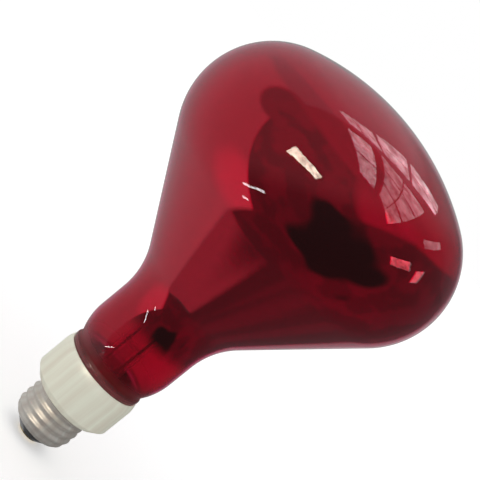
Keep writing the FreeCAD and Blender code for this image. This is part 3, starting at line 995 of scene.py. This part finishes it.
class HEATLAMP_OT_set_stage(Operator):
    """Set the floor, the surroundings, the light and the camera"""
    bl_idname = "heat_lamp.set_stage"
    bl_label = "Set stage"

    def execute(self, context):
        stage = context.scene.heat_lamp_stage
        context.scene.view_settings.view_transform = "Standard"
        self.camera(context.scene, stage)
        self.floor(stage)
        self.surroundings(context.scene, stage)
        self.panels(stage)
        return {"FINISHED"}

    @staticmethod
    def axes(stage):
        """The picture's right, its up and the way back to the camera, in the lamp's frame."""
        up = Vector((0, math.sin(stage.elevation), math.cos(stage.elevation)))
        back = Vector((0, -math.cos(stage.elevation), math.sin(stage.elevation)))
        right = Vector((1, 0, 0))
        turn, rise = math.sin(stage.roll), math.cos(stage.roll)
        return right * turn + up * rise, up * turn - right * rise, back

    def camera(self, scene, stage):
        """Camera at the photo's viewing angle, with the lamp in its place in the picture."""
        side, top, back = self.axes(stage)
        focal_px = stage.lens / SENSOR_MM * FRAME_PX
        aim = -back - side * (stage.offset[0] / focal_px) + top * (stage.offset[1] / focal_px)
        aim.normalize()
        side = (side - aim * side.dot(aim)).normalized()
        data = bpy.data.cameras.new("camera")
        data.lens = stage.lens
        data.sensor_width = SENSOR_MM
        camera = bpy.data.objects.new("camera", data)
        turn = Matrix((side, (-aim).cross(side), -aim)).transposed().to_4x4()
        stand = Vector((0, 0, stage.aim_height)) + back * stage.distance
        camera.matrix_world = Matrix.Translation(stand) @ turn
        scene.collection.objects.link(camera)
        scene.camera = camera

    @staticmethod
    def floor(stage):
        """Plain floor that only the camera and scattered light meet."""
        bm = bmesh.new()
        bmesh.ops.create_grid(bm, x_segments=1, y_segments=1, size=stage.floor_size / 2)
        floor = link_mesh("floor", bm, [pale_floor("pale_floor", stage)])
        floor.visible_glossy = False
        floor.visible_transmission = False

    def surroundings(self, scene, stage):
        """World that lights the lamp and that its glass mirrors."""
        world = bpy.data.worlds.new("studio")
        scene.world = world
        world.use_nodes = True
        tree = world.node_tree
        tree.nodes.clear()
        strength = StudioSky(tree, self.axes(stage)).strength()
        sky = add_node(tree, "ShaderNodeBackground", {"Color": (1, 1, 1, 1), "Strength": strength})
        add_node(tree, "ShaderNodeOutputWorld", {"Surface": sky.outputs["Background"]})

    def panels(self, stage):
        """Bright panels that the glass mirrors; only those on the right show in the coat too."""
        side, top, back = self.axes(stage)
        walls = {"right": (back, side), "front": (side, back), "left": (back, -side)}
        middle = Vector((0, 0, stage.room_height))
        for name, wall, strength, cuts, corners in PANELS:
            across, outward = walls[wall]
            places = [middle + (outward + across * x + top * y) * stage.room for x, y in corners]
            tone = stage.tube_tone if name == "tube_panel" else (1.0, 1.0, 1.0)
            lit = link_mesh(name, self.panes(places, cuts, stage.pane_bar), [lit_panel(name, strength, tone)])
            lit.visible_camera = False
            lit.visible_diffuse = False
            lit.visible_shadow = False
            lit.visible_transmission = wall == "right"

    @staticmethod
    def panes(places, cuts, bar):
        """Sheet spread between four places, cut by bars where it has more than one pane."""
        bm = bmesh.new()
        bmesh.ops.create_grid(bm, x_segments=cuts[0], y_segments=cuts[1], size=0.5)
        if cuts != (1, 1):
            bars = bmesh.ops.inset_individual(bm, faces=bm.faces[:], thickness=bar)["faces"]
            bmesh.ops.delete(bm, geom=bars, context="FACES")
        for vert in bm.verts:
            low = places[0].lerp(places[1], vert.co.x + 0.5)
            high = places[3].lerp(places[2], vert.co.x + 0.5)
            vert.co = low.lerp(high, vert.co.y + 0.5)
        return bm


class HEATLAMP_PT_looks(Panel):
    """Steps and sizes of the heat lamp"""
    bl_label = "Heat lamp"
    bl_idname = "HEATLAMP_PT_looks"
    bl_space_type = "VIEW_3D"
    bl_region_type = "UI"
    bl_category = "Heat lamp"

    def draw(self, context):
        for step in STEPS:
            self.layout.operator(step.bl_idname)
        for group in GROUPS:
            settings = getattr(context.scene, group)
            box = self.layout.box()
            for name in GROUPS[group].__annotations__:
                box.prop(settings, name)


GROUPS = {"heat_lamp_bulb": HeatLampBulb, "heat_lamp_mount": HeatLampMount, "heat_lamp_cap": HeatLampCap,
          "heat_lamp_stage": HeatLampStage}
STEPS = (HEATLAMP_OT_blow_bulb, HEATLAMP_OT_wind_filament, HEATLAMP_OT_finish_mount, HEATLAMP_OT_form_cap,
         HEATLAMP_OT_seat_contacts, HEATLAMP_OT_set_stage)


register_classes, unregister_classes = bpy.utils.register_classes_factory(
    (*GROUPS.values(), *STEPS, HEATLAMP_PT_looks))


def register():
    register_classes()
    for name, group in GROUPS.items():
        setattr(bpy.types.Scene, name, PointerProperty(type=group))


def unregister():
    for name in GROUPS:
        delattr(bpy.types.Scene, name)
    unregister_classes()


def main():
    register()
    bpy.ops.heat_lamp.blow_bulb()
    bpy.ops.heat_lamp.wind_filament()
    bpy.ops.heat_lamp.finish_mount()
    bpy.ops.heat_lamp.form_cap()
    bpy.ops.heat_lamp.seat_contacts()
    bpy.ops.heat_lamp.set_stage()


if __name__ == "__main__":
    main()
